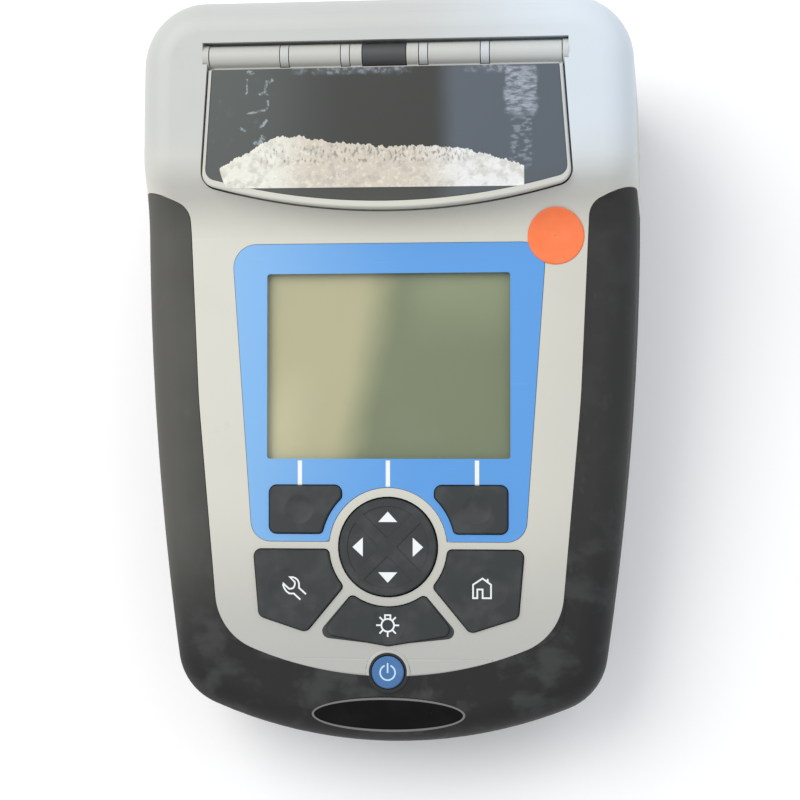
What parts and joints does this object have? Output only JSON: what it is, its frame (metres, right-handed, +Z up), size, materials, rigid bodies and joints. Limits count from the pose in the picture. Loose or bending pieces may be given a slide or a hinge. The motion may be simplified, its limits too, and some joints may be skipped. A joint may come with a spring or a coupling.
{
  "type": "portable spectrophotometer",
  "caption": "Wedge-shaped portable spectrophotometer with a sloping display and key face, a rubber grip band and a hinged lid over round and long sample wells.",
  "frame": {"origin": "on the table under the middle of the body, level with the soles of the feet", "axes": "+X to the right of the key face, +Y from the nose to the raised head, +Z up"},
  "size_m": [0.1784, 0.257, 0.098],
  "materials": {
    "housing_grey": "light grey fine-grained plastic",
    "dark_plastic": "dark grey plastic",
    "grip_rubber": "charcoal soft rubber",
    "seal_rubber": "black rubber",
    "lid_insert": "dark grey smooth plastic",
    "bezel_blue": "blue printed plastic",
    "window_clear": "clear window",
    "lcd_grey": "grey-green display cell",
    "guide_white": "white light guide",
    "key_rubber": "dark grey key rubber",
    "power_blue": "blue plastic",
    "black_plastic": "black plastic",
    "board_green": "green circuit board",
    "steel": "steel",
    "aluminium": "machined aluminium",
    "glass": "optical glass",
    "mirror": "polished mirror",
    "cell_wrap": "plain battery sleeve",
    "bright_trim": "bright trim"
  },
  "bodies": {
    "case": {"top_housing": "housing_grey", "grip_band": "grip_rubber", "bottom_housing": "dark_plastic", "housing_seal": "seal_rubber", "battery_cell": "cell_wrap", "battery_contact": "steel", "case_screw": "steel", "rubber_foot": "seal_rubber", "badge_plate": "black_plastic", "badge_rim": "bright_trim", "hinge_pin": "steel", "hinge_block": "dark_plastic", "hinge_end_cap": "housing_grey", "cell_block": "black_plastic", "beam_window": "glass", "cell_clip": "steel", "display_bezel": "bezel_blue", "display_window": "window_clear", "lcd_panel": "lcd_grey", "lcd_light_guide": "guide_white", "lcd_frame": "black_plastic", "power_key_ring": "black_plastic", "nav_cradle": "black_plastic", "snap_dome": "steel", "key_mat": "seal_rubber", "main_board": "board_green", "board_chip": "black_plastic", "board_screw": "steel", "optical_bench": "aluminium", "lamp_housing": "aluminium", "flash_lamp": "glass", "lamp_lens": "glass", "stepper_motor": "steel", "detector_board": "board_green", "photodiode": "black_plastic", "focusing_mirror_1": "mirror", "mirror_holder_1": "aluminium", "focusing_mirror_2": "mirror", "mirror_holder_2": "aluminium", "fold_mirror": "mirror", "fold_holder": "aluminium", "slit_plate": "black_plastic", "bench_screw": "steel"},
    "lid": {"lid_frame": "housing_grey", "lid_panel": "lid_insert", "lid_seal": "seal_rubber"},
    "battery_door": {"battery_door": "dark_plastic"},
    "soft_key_left": {"soft_key_left": "key_rubber"},
    "soft_key_right": {"soft_key_right": "key_rubber"},
    "settings_key": {"settings_key": "key_rubber"},
    "home_key": {"home_key": "key_rubber"},
    "backlight_key": {"backlight_key": "key_rubber"},
    "power_key": {"power_key": "power_blue"},
    "nav_spider": {"nav_spider": "black_plastic"},
    "nav_pad": {"nav_pad": "key_rubber"},
    "grating_table": {"grating_table": "aluminium", "grating": "mirror"}
  },
  "joints": [
    {"name": "lid_hinge", "type": "hinge", "parent": "case", "child": "lid", "pos_m": [0, 0.1034, 0.09193], "axis": [-1, 0, 0], "range_deg": [0, 100]},
    {"name": "battery_door_slide", "type": "slide", "parent": "case", "child": "battery_door", "axis": [0, 0, -1], "range_m": [0, 0.03]},
    {"name": "soft_key_left_press", "type": "slide", "parent": "case", "child": "soft_key_left", "axis": [0, 0.1564, -0.9877], "range_m": [0, 0.0008], "stiffness_N_per_m": 1500, "springref_m": -0.0002},
    {"name": "soft_key_right_press", "type": "slide", "parent": "case", "child": "soft_key_right", "axis": [0, 0.1564, -0.9877], "range_m": [0, 0.0008], "stiffness_N_per_m": 1500, "springref_m": -0.0002},
    {"name": "settings_key_press", "type": "slide", "parent": "case", "child": "settings_key", "axis": [0, 0.1564, -0.9877], "range_m": [0, 0.0008], "stiffness_N_per_m": 1500, "springref_m": -0.0002},
    {"name": "home_key_press", "type": "slide", "parent": "case", "child": "home_key", "axis": [0, 0.1564, -0.9877], "range_m": [0, 0.0008], "stiffness_N_per_m": 1500, "springref_m": -0.0002},
    {"name": "backlight_key_press", "type": "slide", "parent": "case", "child": "backlight_key", "axis": [0, 0.1564, -0.9877], "range_m": [0, 0.0008], "stiffness_N_per_m": 1500, "springref_m": -0.0002},
    {"name": "power_key_press", "type": "slide", "parent": "case", "child": "power_key", "axis": [0, 0.1564, -0.9877], "range_m": [0, 0.0008], "stiffness_N_per_m": 1500, "springref_m": -0.0002},
    {"name": "nav_rock_updown", "type": "hinge", "parent": "case", "child": "nav_spider", "pos_m": [0, -0.06141, 0.05032], "axis": [1, 0, 0], "range_deg": [-3.5, 3.5], "stiffness_Nm_per_rad": 0.3},
    {"name": "nav_rock_leftright", "type": "hinge", "parent": "nav_spider", "child": "nav_pad", "pos_m": [0, -0.06141, 0.05032], "axis": [0, 0.9877, 0.1564], "range_deg": [-3.5, 3.5], "stiffness_Nm_per_rad": 0.3},
    {"name": "grating_turn", "type": "hinge", "parent": "case", "child": "grating_table", "pos_m": [0.004, 0.048, 0.034], "axis": [0, 0, 1], "range_deg": [-30, 30]}
  ]
}
